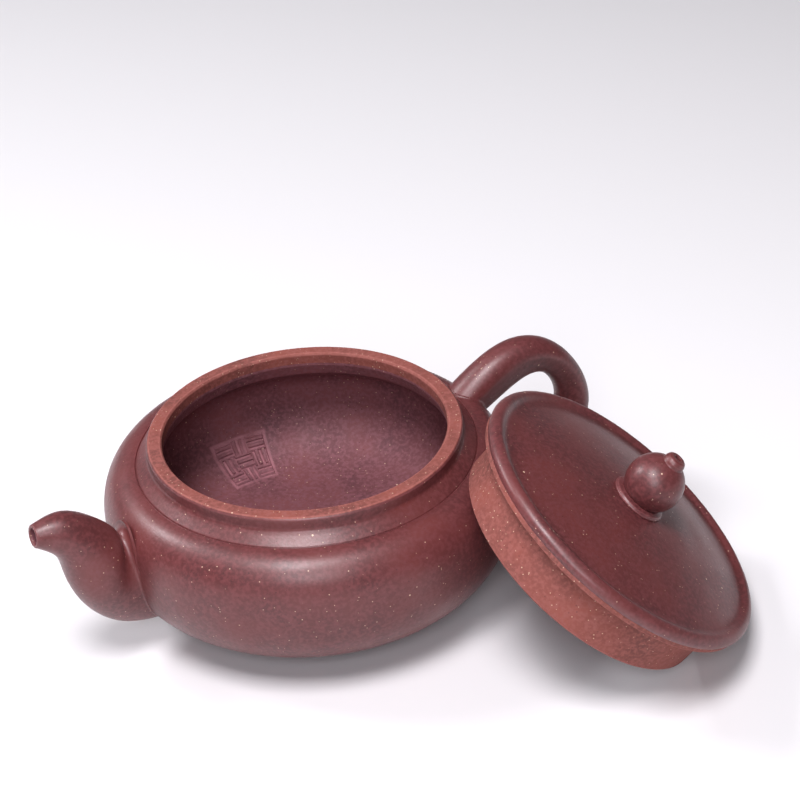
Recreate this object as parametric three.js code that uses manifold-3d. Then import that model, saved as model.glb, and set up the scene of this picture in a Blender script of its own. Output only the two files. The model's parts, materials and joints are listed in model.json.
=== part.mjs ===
// Low, round-bellied clay teapot with its lid taken off and leaned on the shoulder.
// Millimetres, +Z up. The origin is the centre of the foot's flat underside.
// The spout points along -X and the handle along +X.

import * as THREE from 'three';
import { mergeVertices } from 'three/addons/utils/BufferGeometryUtils.js';
import Module from 'manifold-3d';

const wasm = await Module();
wasm.setup();

// ---- driving dimensions of the pot ----
const SEGMENTS = 40;
const LOWER_STEPS = 8; // along the belly's curves
const UPPER_STEPS = 7;
const INNER_STEPS = 7;
const CLEARANCE = 0.3; // between a clay piece and the neighbour that it is cut to
const FOOT_HEIGHT = 5;
const FOOT_RADIUS = 30;
const FOOT_EDGE = 1.2;
const WALL = 3;
const FLOOR_THICKNESS = 3.5;
const FLOOR_RADIUS = FOOT_RADIUS - WALL;
const FLOOR_Z = FOOT_HEIGHT + FLOOR_THICKNESS;
const BELLY_RADIUS = 50;
const BELLY_Z = 26.5;
const BELLY_FULLNESS = 2.5; // exponent of the lower curve, where 2 is an ellipse
const SHOULDER_FULLNESS = 2.2;
const GROOVE_RADIUS = 41;
const GROOVE_Z = 38.2;
const MOUTH_RADIUS = 34.2;
const RIM_RADIUS = 38;
const RIM_Z = 44;
const RIM_HEIGHT = 2.8;
const RIM_EDGE = 0.7;

// ---- spout and handle ----
const SPOUT_LENGTH_STEPS = 12;
const SPOUT_SEGMENTS = 24;
const SPOUT_BORE = 0.7; // bore radius as a part of the outer radius
// Stations from the root inside the belly to the lip. Each gives the top and the bottom of a
// section, as x and z, and the section's half width.
const SPOUT_STATIONS = [
  [-46, 33.5, -39.5, 7.6, 7.6],
  [-50.6, 33.8, -53, 10.4, 7],
  [-51, 35.4, -61, 18, 8],
  [-55.4, 40.4, -64.7, 27.8, 7],
  [-62.6, 44.9, -66.3, 34.6, 5],
  [-70, 44.5, -70.7, 38.9, 2.8],
];
const STRAINER_HOLE_RADIUS = 1.25;
const STRAINER_PITCH = 4.4;
const STRAINER_HOLES = 6; // round one in the middle
const STRAINER_Z = 22;

// Stations from the handle's lower root to its upper one. Each gives the back and the inner
// face of a section, as x and z, and the section's half width.
const HANDLE_STATIONS = [
  [41, 11.6, 43, 20.4, 5],
  [51, 9, 53, 17.8, 4.8],
  [63.2, 7.2, 62.9, 16, 4.7],
  [76, 11.8, 68.5, 18, 4.7],
  [82, 24, 73, 24.5, 4.7],
  [73, 41.6, 69, 34.2, 4.7],
  [59.5, 46.4, 61.5, 35.2, 4.7],
  [46, 41.2, 51, 30.5, 4.9],
  [36, 34, 42.5, 27.5, 5.2],
];
const HANDLE_STEPS = 32;
const HANDLE_BACK_STEPS = 8;
const HANDLE_EDGE = 0.25; // where the crisp edge lies, from -1 at the inner face to 1 at the back
const HANDLE_INNER_HALF_WIDTH = 0.33; // as a part of the half width, as are the next two
const HANDLE_SIDE_HALF_WIDTH = 0.72;
const HANDLE_SIDE = -0.62;

// ---- lid, in its own frame: z = 0 is the plane that sits on the rim ----
const BEAD_RADIUS = 38.6;
const BEAD_INNER_RADIUS = 34.2;
const SEAT_RADIUS = 38;
const SEAT_INNER_RADIUS = 29.5;
const SEAT_THICKNESS = 1.2;
const BEAD_TOP_Z = 4.3;
const COLLAR_RADIUS = 33.3;
const COLLAR_INNER_RADIUS = 30.8;
const COLLAR_DEPTH = 12.5;
const CROWN_EDGE_Z = 2.9;
const CROWN_TOP_Z = 7.9;
const CROWN_UNDER_Z = 4.6;
const KNOB_RING_RADIUS = 6.8;
const KNOB_RING_HEIGHT = 1.4;
const KNOB_RADIUS = 6.9;
const KNOB_Z = 14;
const TIP_RADIUS = 2.6;
const TIP_Z = 20.3;
const TIP_TOP_Z = 22.2;
const VENT_RADIUS = 0.9;
const SEAM = 0.1; // between the lid's stacked pieces

// ---- where the lid leans ----
const LID_TILT = THREE.MathUtils.degToRad(40);
const LID_BEARING = THREE.MathUtils.degToRad(-32); // the way that the crown faces
const LID_X = 47.2;
const LID_Y = -60.6;

// ---- clay ----
const BURNISHED = { color: 0x6b3a38, roughness: 0.38, metalness: 0 };
const BARE = { color: 0x96605a, roughness: 0.8, metalness: 0 };

function addMesh(group, name, geometry, finish) {
  const mesh = new THREE.Mesh(geometry, new THREE.MeshStandardMaterial(finish));
  mesh.name = name;
  group.add(mesh);
  return mesh;
}

// A solid turned about Z from a profile of [radius, z] points, listed up the outside.
function turned(profile, segments = SEGMENTS) {
  const closes = profile[0][0] > 0;
  const points = profile.map(([r, z]) => new THREE.Vector2(r, z));
  if (closes) points.push(points[0].clone());
  const geometry = new THREE.LatheGeometry(points, segments);
  geometry.rotateX(Math.PI / 2);
  return geometry;
}

function toSolid(geometry) {
  const bare = geometry.clone();
  bare.deleteAttribute('normal');
  bare.deleteAttribute('uv');
  const merged = mergeVertices(bare, 1e-5);
  return new wasm.Manifold(new wasm.Mesh({
    numProp: 3,
    vertProperties: new Float32Array(merged.attributes.position.array),
    triVerts: new Uint32Array(merged.index.array),
  }));
}

function toGeometry(solid) {
  const mesh = solid.getMesh();
  const geometry = new THREE.BufferGeometry();
  geometry.setAttribute('position', new THREE.BufferAttribute(mesh.vertProperties, 3));
  geometry.setIndex(new THREE.BufferAttribute(mesh.triVerts, 1));
  geometry.computeVertexNormals();
  return geometry;
}

// Points of a curve given as a function of 0..1.
function sample(curve, from, to, steps) {
  const points = [];
  for (let i = 0; i <= steps; i += 1) {
    points.push(curve(from + (to - from) * (i / steps)));
  }
  return points;
}

// ---- the belly's curves, each from 0 at its low end to 1 at its high end ----
// A quarter of a full-bodied ellipse, from the edge of the foot out to the belly.
function lowerCurve(footRadius, bellyRadius, lowZ) {
  return (t) => {
    const angle = (t * Math.PI) / 2;
    const out = Math.max(Math.sin(angle), 0) ** (2 / BELLY_FULLNESS);
    const down = Math.max(Math.cos(angle), 0) ** (2 / BELLY_FULLNESS);
    return [footRadius + (bellyRadius - footRadius) * out, BELLY_Z - (BELLY_Z - lowZ) * down];
  };
}

// A quarter of a slightly full ellipse, from the belly in to the groove.
function upperCurve(bellyRadius, grooveRadius, grooveZ) {
  return (t) => {
    const angle = (t * Math.PI) / 2;
    const out = Math.cos(angle);
    const up = Math.sin(angle) ** (2 / SHOULDER_FULLNESS);
    return [grooveRadius + (bellyRadius - grooveRadius) * out, BELLY_Z + (grooveZ - BELLY_Z) * up];
  };
}

const outerLower = lowerCurve(FOOT_RADIUS, BELLY_RADIUS, FOOT_HEIGHT);
const outerUpper = upperCurve(BELLY_RADIUS, GROOVE_RADIUS, GROOVE_Z);
const innerLower = lowerCurve(FLOOR_RADIUS, BELLY_RADIUS - WALL, FLOOR_Z);
const innerUpper = upperCurve(BELLY_RADIUS - WALL, GROOVE_RADIUS - WALL, GROOVE_Z - WALL);

const grooveOut = [GROOVE_RADIUS, GROOVE_Z];
const grooveIn = [GROOVE_RADIUS - WALL, GROOVE_Z - WALL];

function footProfile() {
  return [
    [0, 0],
    [FOOT_RADIUS - FOOT_EDGE, 0],
    [FOOT_RADIUS - FOOT_EDGE / 3, FOOT_EDGE],
    [FOOT_RADIUS, FOOT_HEIGHT],
    [0, FOOT_HEIGHT],
  ];
}

function floorProfile() {
  return [
    [0, FOOT_HEIGHT],
    [FLOOR_RADIUS, FOOT_HEIGHT],
    [FLOOR_RADIUS, FLOOR_Z],
    [0, FLOOR_Z],
  ];
}

function bellyProfile() {
  return [
    [FLOOR_RADIUS, FOOT_HEIGHT],
    ...sample(outerLower, 0, 1, LOWER_STEPS),
    ...sample(innerLower, 1, 0, INNER_STEPS),
  ];
}

function shoulderProfile() {
  return [
    ...sample(outerUpper, 0, 1, UPPER_STEPS),
    ...sample(innerUpper, 1, 0, UPPER_STEPS),
  ];
}

function neckProfile() {
  const rimLow = RIM_Z - RIM_HEIGHT;
  return [
    grooveIn,
    grooveOut,
    [GROOVE_RADIUS - 1.5, GROOVE_Z + 0.5],
    [GROOVE_RADIUS - 2.4, GROOVE_Z + 1.2],
    [RIM_RADIUS + 0.1, GROOVE_Z + 2.1],
    [RIM_RADIUS, rimLow],
    [MOUTH_RADIUS, rimLow],
    [MOUTH_RADIUS, rimLow - 0.6],
    [MOUTH_RADIUS + 1, rimLow - 3.6],
  ];
}

function rimProfile() {
  const rimLow = RIM_Z - RIM_HEIGHT;
  return [
    [MOUTH_RADIUS, rimLow],
    [RIM_RADIUS, rimLow],
    [RIM_RADIUS, RIM_Z - RIM_EDGE],
    [RIM_RADIUS - RIM_EDGE, RIM_Z],
    [MOUTH_RADIUS + RIM_EDGE, RIM_Z],
    [MOUTH_RADIUS, RIM_Z - RIM_EDGE],
  ];
}

// The filled shape of the pot, a little larger, that the spout and handle are cut to.
function potCore() {
  const outline = [
    ...sample(outerLower, 0, 1, LOWER_STEPS),
    ...sample(outerUpper, 0, 1, UPPER_STEPS).slice(1),
  ];
  const grown = outline.map(([r, z]) => [r + CLEARANCE, z]);
  grown[0][1] -= CLEARANCE;
  grown[grown.length - 1][1] += CLEARANCE;
  return toSolid(turned([[0, grown[0][1]], ...grown, [0, GROOVE_Z + CLEARANCE]]));
}

// One hole through the wall in the middle of the spout's root and a ring round it.
function strainerDrills() {
  const places = [[0, STRAINER_Z]];
  for (let i = 0; i < STRAINER_HOLES; i += 1) {
    const angle = (2 * Math.PI * i) / STRAINER_HOLES;
    places.push([STRAINER_PITCH * Math.sin(angle), STRAINER_Z + STRAINER_PITCH * Math.cos(angle)]);
  }
  return places.map(([y, z]) => {
    const drill = new THREE.CylinderGeometry(STRAINER_HOLE_RADIUS, STRAINER_HOLE_RADIUS, 4 * WALL, 12);
    drill.rotateZ(Math.PI / 2);
    drill.translate(-BELLY_RADIUS, y, z);
    return toSolid(drill);
  });
}

function makeBelly() {
  let solid = toSolid(turned(bellyProfile()));
  for (const drill of strainerDrills()) solid = solid.subtract(drill);
  return toGeometry(solid);
}

// A bar of length 1 along Z and half width 1, drawn out between two lines in the XZ plane.
// Its side at X = 1 follows the stations' first points and its side at X = -1 the second ones.
function drawnOut(bar, stations) {
  const curve = (points) => new THREE.CatmullRomCurve3(points, false, 'centripetal');
  const first = curve(stations.map(([x, z, , , width]) => new THREE.Vector3(x, width, z)));
  const second = curve(stations.map(([, , x, z]) => new THREE.Vector3(x, 0, z)));
  const position = bar.attributes.position;
  for (let i = 0; i < position.count; i += 1) {
    const along = Math.min(Math.max(position.getZ(i), 0), 1);
    const side = first.getPoint(along);
    const place = second.getPoint(along).lerp(side, (1 + position.getX(i)) / 2);
    position.setXYZ(i, place.x, position.getY(i) * side.y, place.z);
  }
  return toSolid(bar);
}

function makeSpout() {
  const outside = sample((t) => [1, t], 0, 1, SPOUT_LENGTH_STEPS);
  const inside = sample((t) => [SPOUT_BORE, t], 1, 0, SPOUT_LENGTH_STEPS);
  const tube = turned([...outside, ...inside], SPOUT_SEGMENTS);
  return toGeometry(drawnOut(tube, SPOUT_STATIONS).subtract(potCore()));
}

// Rounded back, a crisp edge down each side, and a flatter inner face.
function handleSection() {
  const back = (t) => {
    const angle = Math.PI * (t - 0.5);
    const rise = (1 - HANDLE_EDGE) * Math.cos(angle);
    return new THREE.Vector2(HANDLE_EDGE + rise, Math.sin(angle));
  };
  return new THREE.Shape([
    ...sample(back, 0, 1, HANDLE_BACK_STEPS),
    new THREE.Vector2(HANDLE_SIDE, HANDLE_SIDE_HALF_WIDTH),
    new THREE.Vector2(-1, HANDLE_INNER_HALF_WIDTH),
    new THREE.Vector2(-1, -HANDLE_INNER_HALF_WIDTH),
    new THREE.Vector2(HANDLE_SIDE, -HANDLE_SIDE_HALF_WIDTH),
  ]);
}

function makeHandle() {
  const bar = new THREE.ExtrudeGeometry(handleSection(), {
    steps: HANDLE_STEPS,
    depth: 1,
    bevelEnabled: false,
  });
  return toGeometry(drawnOut(bar, HANDLE_STATIONS).subtract(potCore()));
}

// ---- lid profiles ----
function seatProfile() {
  return [
    [SEAT_INNER_RADIUS, 0],
    [SEAT_RADIUS - 0.4, 0],
    [SEAT_RADIUS, 0.4],
    [SEAT_RADIUS, SEAT_THICKNESS],
    [SEAT_INNER_RADIUS, SEAT_THICKNESS],
  ];
}

function beadProfile() {
  const low = SEAT_THICKNESS + SEAM;
  const middle = BEAD_RADIUS - 2.4;
  return [
    [BEAD_INNER_RADIUS, low],
    [BEAD_RADIUS - 0.5, low],
    [BEAD_RADIUS - 0.05, 2],
    [BEAD_RADIUS, 2.6],
    [BEAD_RADIUS - 0.3, 3.4],
    [BEAD_RADIUS - 1.1, 4],
    [middle, BEAD_TOP_Z],
    [middle - 1.4, 4],
    [BEAD_INNER_RADIUS + 0.4, 3.4],
    [BEAD_INNER_RADIUS, CROWN_EDGE_Z],
  ];
}

function crownProfile() {
  const low = SEAT_THICKNESS + SEAM;
  const edge = BEAD_INNER_RADIUS - SEAM;
  const dome = (top, base, radius, from) => (t) => {
    const r = from + (VENT_RADIUS - from) * t;
    return [r, base + (top - base) * (1 - (r / radius) ** 2)];
  };
  return [
    [SEAT_INNER_RADIUS, low],
    [edge, low],
    [edge, CROWN_EDGE_Z],
    ...sample(dome(CROWN_TOP_Z, 3.2, edge, edge - 0.8), 0, 0.76, 6),
    [KNOB_RING_RADIUS + 0.2, CROWN_TOP_Z - SEAM],
    [VENT_RADIUS, CROWN_TOP_Z - SEAM],
    ...sample(dome(CROWN_UNDER_Z, low, SEAT_INNER_RADIUS, SEAT_INNER_RADIUS), 1, 0.12, 5),
  ];
}

function collarProfile() {
  return [
    [COLLAR_INNER_RADIUS + 0.4, -COLLAR_DEPTH],
    [COLLAR_RADIUS - 0.5, -COLLAR_DEPTH],
    [COLLAR_RADIUS, -COLLAR_DEPTH + 0.5],
    [COLLAR_RADIUS, -SEAM],
    [COLLAR_INNER_RADIUS, -SEAM],
    [COLLAR_INNER_RADIUS, -COLLAR_DEPTH + 0.4],
  ];
}

function knobRingProfile() {
  const top = CROWN_TOP_Z + KNOB_RING_HEIGHT;
  return [
    [VENT_RADIUS, CROWN_TOP_Z],
    [KNOB_RING_RADIUS - 0.3, CROWN_TOP_Z],
    [KNOB_RING_RADIUS, CROWN_TOP_Z + 0.5],
    [KNOB_RING_RADIUS - 0.3, top - 0.3],
    [KNOB_RING_RADIUS - 1.1, top],
    [VENT_RADIUS, top],
  ];
}

function knobProfile() {
  const low = CROWN_TOP_Z + KNOB_RING_HEIGHT + SEAM - KNOB_Z;
  const high = TIP_Z - SEAM - KNOB_Z;
  const from = Math.asin(low / KNOB_RADIUS);
  const to = Math.asin(high / KNOB_RADIUS);
  const ball = (angle) => [KNOB_RADIUS * Math.cos(angle), KNOB_Z + KNOB_RADIUS * Math.sin(angle)];
  return [
    [VENT_RADIUS, KNOB_Z + low],
    ...sample(ball, from, to, 10),
    [VENT_RADIUS, KNOB_Z + high],
  ];
}

function tipProfile() {
  return [
    [VENT_RADIUS, TIP_Z],
    [TIP_RADIUS, TIP_Z],
    [TIP_RADIUS, TIP_Z + 0.7],
    [TIP_RADIUS - 0.5, TIP_TOP_Z - 0.4],
    [TIP_RADIUS - 1.1, TIP_TOP_Z],
    [VENT_RADIUS, TIP_TOP_Z],
  ];
}

function makePot() {
  const pot = new THREE.Group();
  addMesh(pot, 'foot', turned(footProfile()), BURNISHED);
  addMesh(pot, 'floor_slab', turned(floorProfile()), BARE);
  addMesh(pot, 'belly_wall', makeBelly(), BURNISHED);
  addMesh(pot, 'shoulder', turned(shoulderProfile()), BURNISHED);
  addMesh(pot, 'neck_ring', turned(neckProfile()), BURNISHED);
  addMesh(pot, 'mouth_rim', turned(rimProfile()), BARE);
  addMesh(pot, 'spout', makeSpout(), BURNISHED);
  addMesh(pot, 'handle', makeHandle(), BURNISHED);
  return pot;
}

// The lid rests on the lowest point of its collar.
function makeLid() {
  const lid = new THREE.Group();
  addMesh(lid, 'lid_crown', turned(crownProfile()), BURNISHED);
  addMesh(lid, 'lid_bead', turned(beadProfile()), BURNISHED);
  addMesh(lid, 'lid_seat', turned(seatProfile()), BURNISHED);
  addMesh(lid, 'lid_collar', turned(collarProfile()), BARE);
  addMesh(lid, 'knob_ring', turned(knobRingProfile(), SEGMENTS / 2), BURNISHED);
  addMesh(lid, 'knob', turned(knobProfile(), SEGMENTS / 2), BURNISHED);
  addMesh(lid, 'knob_tip', turned(tipProfile(), SEGMENTS / 2), BURNISHED);
  const facing = new THREE.Vector3(
    Math.sin(LID_TILT) * Math.cos(LID_BEARING),
    Math.sin(LID_TILT) * Math.sin(LID_BEARING),
    Math.cos(LID_TILT),
  );
  lid.quaternion.setFromUnitVectors(new THREE.Vector3(0, 0, 1), facing);
  const height = COLLAR_RADIUS * Math.sin(LID_TILT) + COLLAR_DEPTH * Math.cos(LID_TILT);
  lid.position.set(LID_X, LID_Y, height);
  return lid;
}

const teapot = new THREE.Group();
teapot.add(makePot());
teapot.add(makeLid());

export default teapot;
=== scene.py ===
"""A low clay teapot with its lid leaned on the shoulder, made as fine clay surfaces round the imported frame.

Lengths are in metres. Outlines are written in millimetres and scaled once, by MM.
"""

import json
import math

import bmesh
import bpy
import numpy as np
from bpy.props import FloatProperty, FloatVectorProperty, PointerProperty
from mathutils import Matrix, Vector


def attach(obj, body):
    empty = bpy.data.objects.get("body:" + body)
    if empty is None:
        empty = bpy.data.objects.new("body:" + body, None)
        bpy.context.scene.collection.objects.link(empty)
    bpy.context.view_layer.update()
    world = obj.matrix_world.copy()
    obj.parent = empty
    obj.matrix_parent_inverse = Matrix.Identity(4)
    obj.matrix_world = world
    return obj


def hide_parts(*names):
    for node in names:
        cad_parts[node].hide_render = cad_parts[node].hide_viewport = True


bl_info = {
    "name": "Clay Teapot",
    "version": (1, 0, 0),
    "blender": (4, 5, 0),
    "location": "3D View > Sidebar > Teapot",
    "description": "Builds the clay surfaces of a low teapot and its lid round a CAD frame",
    "category": "Add Mesh",
}

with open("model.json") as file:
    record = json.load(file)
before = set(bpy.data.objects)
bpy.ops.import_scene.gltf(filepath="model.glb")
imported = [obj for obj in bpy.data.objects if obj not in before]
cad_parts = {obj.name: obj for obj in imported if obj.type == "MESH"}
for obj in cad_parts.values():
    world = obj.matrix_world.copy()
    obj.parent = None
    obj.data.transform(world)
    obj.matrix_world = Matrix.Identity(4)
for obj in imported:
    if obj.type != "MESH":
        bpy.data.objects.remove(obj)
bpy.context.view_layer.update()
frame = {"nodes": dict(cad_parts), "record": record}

MM = 0.001


# ---- sizes read from the frame ----
def node_points(node):
    """The corners of a CAD node at rest, each once, as rows of x, y and z in millimetres."""
    mesh = frame["nodes"][node].data
    flat = np.empty(3 * len(mesh.vertices))
    mesh.vertices.foreach_get("co", flat)
    return np.unique((flat.reshape(-1, 3) / MM).round(3), axis=0)


def lid_axes():
    """The lid's own axes, as a point and three directions.

    The corners of a turned node average to a point on its axis, so two nodes give the axis. The point is
    where the axis meets the underside of the seat, and the third direction points out of the crown.
    """
    low = node_points("lid_collar").mean(axis=0)
    high = node_points("knob_tip").mean(axis=0)
    out = (high - low) / np.linalg.norm(high - low)
    seat = ((node_points("lid_seat") - low) @ out).min()
    side = np.cross([0.0, 0.0, 1.0], out)
    side /= np.linalg.norm(side)
    return low + seat * out, np.stack([np.cross(side, out), side, out])


LID_POINT, LID_TURN = lid_axes()
LID_NODES = frame["record"]["behaviour"]["bodies"]["lid"]


def turned_size(node):
    """A turned node's smallest and largest radius, and its lowest and highest place on its axis."""
    points = node_points(node)
    if node in LID_NODES:
        points = (points - LID_POINT) @ LID_TURN.T
    radii = np.hypot(points[:, 0], points[:, 1])
    return radii.min(), radii.max(), points[:, 2].min(), points[:, 2].max()


def length(label, text, value):
    """A size property in millimetres."""
    return FloatProperty(name=label, description=text, default=float(value), min=0.1, precision=2)


class TeapotPotSizes(bpy.types.PropertyGroup):
    """Sizes of the pot, in millimetres."""

    foot_radius: length("Foot radius", "Half the width of the foot", turned_size("foot")[1])
    foot_height: length("Foot height", "Height of the foot", turned_size("foot")[3])
    floor_radius: length("Floor radius", "Half the width of the flat inside", turned_size("floor_slab")[1])
    floor_height: length("Floor height", "Height of the inner floor", turned_size("floor_slab")[3])
    belly_radius: length("Belly radius", "Half the width of the belly", turned_size("belly_wall")[1])
    belly_height: length("Belly height", "Height of the widest place", turned_size("belly_wall")[3])
    groove_radius: length("Groove radius", "Radius of the cut line", turned_size("neck_ring")[1])
    groove_height: length("Groove height", "Height of that line", turned_size("shoulder")[3])
    rim_radius: length("Rim radius", "Outer radius of the rim", turned_size("mouth_rim")[1])
    mouth_radius: length("Mouth radius", "Inner radius of the rim", turned_size("mouth_rim")[0])
    rim_height: length("Rim height", "Height of the rim's top", turned_size("mouth_rim")[3])
    rim_low: length("Rim foot", "Height where the rim meets the neck", turned_size("mouth_rim")[2])


class TeapotLidSizes(bpy.types.PropertyGroup):
    """Sizes of the lid, in millimetres, with heights from the face that sits on the rim."""

    bead_radius: length("Bead radius", "Half the width of the lid", turned_size("lid_bead")[1])
    bead_inner: length("Crown radius", "Radius where the bead meets the crown", turned_size("lid_bead")[0])
    bead_top: length("Bead top", "Height of the bead", turned_size("lid_bead")[3])
    seat_radius: length("Seat radius", "Outer radius of the seat", turned_size("lid_seat")[1])
    seat_inner: length("Seat inner radius", "Inner radius of the seat", turned_size("lid_seat")[0])
    seat_top: length("Seat thickness", "Thickness of the seat", turned_size("lid_seat")[3])
    collar_radius: length("Collar radius", "Outer radius of the collar", turned_size("lid_collar")[1])
    collar_inner: length("Collar inner radius", "Inner radius of the collar", turned_size("lid_collar")[0])
    collar_depth: length("Collar depth", "How far the collar goes down", -turned_size("lid_collar")[2])
    crown_top: length("Crown top", "Height of the crown under the knob", turned_size("knob_ring")[2])
    ring_radius: length("Knob ring radius", "Half the width of the knob's disc", turned_size("knob_ring")[1])
    ring_top: length("Knob ring top", "Height of that disc's top", turned_size("knob_ring")[3])
    knob_radius: length("Knob radius", "Radius of the ball", turned_size("knob")[1])
    tip_low: length("Tip foot", "Height where the tip leaves the ball", turned_size("knob_tip")[2])
    tip_top: length("Tip top", "Height of the tip", turned_size("knob_tip")[3])
    tip_radius: length("Tip radius", "Half the width of the tip", turned_size("knob_tip")[1])
    vent_radius: length("Vent radius", "Radius of the vent hole", turned_size("knob_tip")[0])


def colour(label, text, value):
    """A colour property, in linear light."""
    return FloatVectorProperty(
        name=label, description=text, subtype="COLOR", size=3, min=0, max=1, default=value
    )


class TeapotClayColours(bpy.types.PropertyGroup):
    """Colours of the fired clay, in linear light."""

    burnished: colour("Burnished clay", "Outside, rubbed smooth before firing", (0.138, 0.042, 0.044))
    bare: colour("Bare clay", "Rim and collar, left as they were cut", (0.230, 0.080, 0.068))
    inner: colour("Inner clay", "Inside, wiped but not burnished", (0.200, 0.084, 0.098))
    sand: colour("Sand", "Pale grains in the clay", (0.72, 0.52, 0.38))


def angle_setting(label, text, degrees):
    """An angle property, given in degrees."""
    return FloatProperty(name=label, description=text, subtype="ANGLE", default=math.radians(degrees))


def power_setting(label, text, watts):
    """The power of a light, in watts."""
    return FloatProperty(name=label, description=text, unit="POWER", default=watts)


class TeapotStageSettings(bpy.types.PropertyGroup):
    """The camera, the lights and the room."""

    azimuth: angle_setting("Azimuth", "Way round the pot", -29.4)
    elevation: angle_setting("Elevation", "Height of the view", 32.0)
    roll: angle_setting("Roll", "Turn of the camera about its view", -3.9)
    distance: FloatProperty(
        name="Distance", description="From the aim to the camera", unit="LENGTH", default=0.521
    )
    lens: FloatProperty(name="Lens", description="Focal length in millimetres", default=94.1)
    aim: FloatVectorProperty(
        name="Aim", description="Place in the middle of the view", subtype="TRANSLATION",
        default=(0.0300, 0.0059, 0.0373),
    )
    key_power: power_setting("Key light", "Power of the large soft light", 6.2)
    fill_power: power_setting("Fill light", "Power of the light by the camera", 5.2)
    back_power: power_setting("Back light", "Power of the light from behind", 4.0)
    sky: FloatProperty(name="Sky", description="Strength of the pale room all round", default=0.09)


# ---- outlines ----
def smoothed(points, width, spacing):
    """An open outline rounded by a bell-shaped average along its length; its two ends stay."""
    reach = int(math.ceil(4 * width / spacing))
    weight = np.exp(-0.5 * (np.arange(-reach, reach + 1) * spacing / width) ** 2)
    weight /= weight.sum()
    before = 2 * points[0] - points[reach:0:-1]
    after = 2 * points[-1] - points[-2 : -reach - 2 : -1]
    padded = np.concatenate([before, points, after])
    return np.stack([np.convolve(column, weight, "valid") for column in padded.T], axis=1)


def travelled(points):
    """How far along an outline each of its points lies."""
    steps = np.linalg.norm(np.diff(points, axis=0), axis=1)
    return np.concatenate([[0], np.cumsum(steps)])


def even(points, spacing):
    """The outline with its points spread evenly, about spacing apart."""
    along = travelled(points)
    marks = np.linspace(0, along[-1], int(math.ceil(along[-1] / spacing)) + 1)
    return np.stack([np.interp(marks, along, column) for column in points.T], axis=1)


def turning(points):
    """How far an outline has turned up to each point, in radians, counted both ways."""
    heading = np.unwrap(np.arctan2(*np.gradient(points, axis=0).T[::-1]))
    return np.concatenate([[0], np.cumsum(np.abs(np.diff(heading)))])


def rows_of(points, longest, sharpest):
    """The rows that carry an outline: each takes an equal share of its length and of its turning."""
    measure = travelled(points) / longest + turning(points) / sharpest
    count = max(int(math.ceil(measure[-1])), 2)
    marks = np.linspace(0, measure[-1], count + 1)
    return np.stack([np.interp(marks, measure, column) for column in points.T], axis=1)


def convexity(points):
    """How sharply a closed or open outline turns outwards at each point, as 1 / radius in 1/mm."""
    first = np.gradient(points, axis=0)
    second = np.gradient(first, axis=0)
    speed = np.maximum(np.hypot(*first.T), 1e-9)
    return (first[:, 0] * second[:, 1] - first[:, 1] * second[:, 0]) / speed**3


FINE = 0.05  # spacing of the worked outline, in millimetres
EDGE_SOFTNESS = 0.16  # how widely the outline is averaged
GROOVE_REACH = 1.0  # this near the cut line it is averaged less
LONGEST_ROW = 1.1
SHARPEST_ROW = math.radians(4.5)
COLUMNS = 256
CURVE_POINTS = 120
BELLY_FULLNESS = 2.5  # exponent of the lower curve, where 2 is an ellipse
SHOULDER_FULLNESS = 2.2


def low_curve(foot, belly, belly_z, low_z):
    """A quarter of a full-bodied ellipse from the foot's edge out to the belly."""
    angle = np.linspace(0, math.pi / 2, CURVE_POINTS)
    out = np.maximum(np.sin(angle), 0) ** (2 / BELLY_FULLNESS)
    down = np.maximum(np.cos(angle), 0) ** (2 / BELLY_FULLNESS)
    return np.stack([foot + (belly - foot) * out, belly_z - (belly_z - low_z) * down], axis=1)


def high_curve(belly, groove, belly_z, high_z):
    """A quarter of a slightly full ellipse from the belly in to the groove."""
    angle = np.linspace(0, math.pi / 2, CURVE_POINTS)
    up = np.sin(angle) ** (2 / SHOULDER_FULLNESS)
    return np.stack([groove + (belly - groove) * np.cos(angle), belly_z + (high_z - belly_z) * up], axis=1)


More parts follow.
